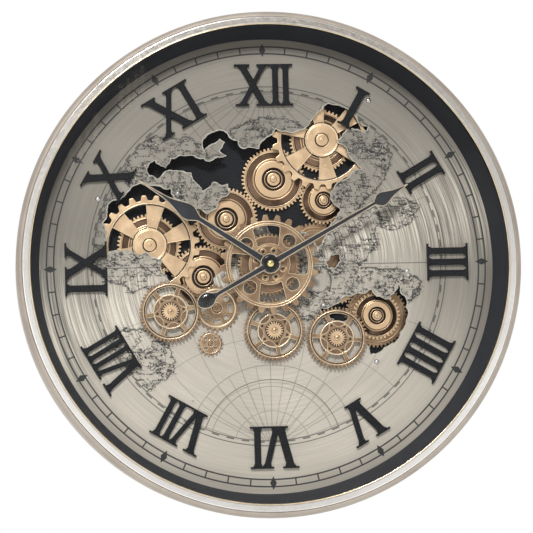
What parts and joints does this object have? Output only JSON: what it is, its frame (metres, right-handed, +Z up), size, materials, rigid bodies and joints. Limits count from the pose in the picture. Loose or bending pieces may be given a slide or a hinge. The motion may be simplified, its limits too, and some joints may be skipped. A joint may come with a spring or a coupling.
{
  "type": "gear wall clock",
  "caption": "Round glazed wall clock with a cut-out map dial, raised Roman numerals, spade hands on a quartz movement and a motor-driven train of brass gears turning behind the dial",
  "frame": {"origin": "the point where the hanger's bridge bears on the wall, on the clock's upright centre line", "axes": "+Z up, -Y out of the dial towards the viewer, +Y into the wall, +X to the viewer's right"},
  "size_m": [0.6, 0.0898, 0.6],
  "materials": {
    "antique_silver": "satin antique silver over sheet metal",
    "glass": "clear polished",
    "black": "satin black paint",
    "brushed_dial": "circular brushed silver with a printed map",
    "steel": "plain zinc plated",
    "gunmetal": "dark gunmetal, glossy",
    "brass": "aged satin brass",
    "black_plastic": "moulded, matte",
    "white_plastic": "moulded",
    "cell_sleeve": "plain printed sleeve without lettering"
  },
  "bodies": {
    "case": {"bezel": "antique_silver", "case_drum": "antique_silver", "front_glass": "glass", "rehaut_ring": "black", "dial_plate": "brushed_dial", "back_panel": "black", "hanger_plate": "steel", "numeral_01": "black", "numeral_02": "black", "numeral_03": "black", "numeral_04": "black", "numeral_05": "black", "numeral_06": "black", "numeral_07": "black", "numeral_08": "black", "numeral_09": "black", "numeral_10": "black", "numeral_11": "black", "numeral_12": "black", "movement_case": "black_plastic", "movement_bush": "brass", "bush_nut": "brass", "movement_cell": "cell_sleeve", "motor_box": "black_plastic", "motor_cell": "cell_sleeve", "left_post": "brass", "lower_left_post": "brass", "upper_left_post": "brass", "top_post": "brass", "right_post": "brass", "small_post": "brass", "hidden_post": "brass", "lower_right_post": "brass", "centre_coarse_wheel": "brass", "centre_fine_wheel": "brass", "lower_left_ribbed_wheel": "brass", "lower_middle_ribbed_wheel": "brass", "lower_right_ribbed_wheel": "brass", "pierced_wheel": "brass", "little_wheel": "brass"},
    "minute": {"minute_arbor": "steel", "minute_hand": "gunmetal", "hand_nut": "brass", "set_knob": "black_plastic"},
    "hour": {"hour_pipe": "brass", "hour_hand": "gunmetal"},
    "left_gear": {"left_bowl_wheel": "brass", "left_spoked_wheel": "brass"},
    "lower_left_gear": {"lower_left_bowl_wheel": "brass"},
    "upper_left_gear": {"upper_left_bowl_wheel": "brass"},
    "top_gear": {"top_bowl_wheel": "brass"},
    "right_gear": {"right_bowl_wheel": "brass", "right_spoked_wheel": "brass"},
    "small_gear": {"small_bowl_wheel": "brass"},
    "hidden_gear": {"hidden_wheel": "brass"},
    "pinion": {"motor_pinion": "brass"},
    "lower_right_gear": {"lower_right_wheel": "brass", "lower_right_bowl_wheel": "brass"},
    "switch": {"switch_slider": "white_plastic"}
  },
  "joints": [
    {"name": "minute_spin", "type": "hinge", "parent": "case", "child": "minute", "pos_m": [0, -0.07, -0.277], "axis": [0, -1, 0], "continuous": true},
    {"name": "hour_spin", "type": "hinge", "parent": "case", "child": "hour", "pos_m": [0, -0.065, -0.277], "axis": [0, -1, 0], "continuous": true},
    {"name": "left_spin", "type": "hinge", "parent": "case", "child": "left_gear", "pos_m": [-0.14042, -0.026, -0.24991], "axis": [0, -1, 0], "continuous": true},
    {"name": "lower_left_spin", "type": "hinge", "parent": "case", "child": "lower_left_gear", "pos_m": [-0.07644, -0.026, -0.28882], "axis": [0, -1, 0], "continuous": true},
    {"name": "upper_left_spin", "type": "hinge", "parent": "case", "child": "upper_left_gear", "pos_m": [-0.04742, -0.026, -0.21979], "axis": [0, -1, 0], "continuous": true},
    {"name": "top_spin", "type": "hinge", "parent": "case", "child": "top_gear", "pos_m": [0.01069, -0.026, -0.17256], "axis": [0, -1, 0], "continuous": true},
    {"name": "right_spin", "type": "hinge", "parent": "case", "child": "right_gear", "pos_m": [0.0697, -0.026, -0.12646], "axis": [0, -1, 0], "continuous": true},
    {"name": "small_spin", "type": "hinge", "parent": "case", "child": "small_gear", "pos_m": [0.07069, -0.026, -0.1989], "axis": [0, -1, 0], "continuous": true},
    {"name": "hidden_spin", "type": "hinge", "parent": "case", "child": "hidden_gear", "pos_m": [0.05942, -0.026, -0.26344], "axis": [0, -1, 0], "continuous": true},
    {"name": "pinion_spin", "type": "hinge", "parent": "case", "child": "pinion", "pos_m": [0.08823, -0.026, -0.30798], "axis": [0, -1, 0], "continuous": true},
    {"name": "lower_right_spin", "type": "hinge", "parent": "case", "child": "lower_right_gear", "pos_m": [0.13103, -0.026, -0.3393], "axis": [0, -1, 0], "continuous": true},
    {"name": "switch_slide", "type": "slide", "parent": "case", "child": "switch", "axis": [1, 0, 0], "range_m": [0, 0.004]}
  ],
  "couplings": [
    {"joint": "hour_spin", "follows": "minute_spin", "ratio": 0.083333},
    {"joint": "lower_left_spin", "follows": "left_spin", "ratio": -1},
    {"joint": "upper_left_spin", "follows": "left_spin", "ratio": 1},
    {"joint": "top_spin", "follows": "left_spin", "ratio": -1},
    {"joint": "right_spin", "follows": "left_spin", "ratio": 1},
    {"joint": "small_spin", "follows": "left_spin", "ratio": 1.3333},
    {"joint": "hidden_spin", "follows": "left_spin", "ratio": -1},
    {"joint": "pinion_spin", "follows": "left_spin", "ratio": 2.4},
    {"joint": "lower_right_spin", "follows": "left_spin", "ratio": -1}
  ]
}
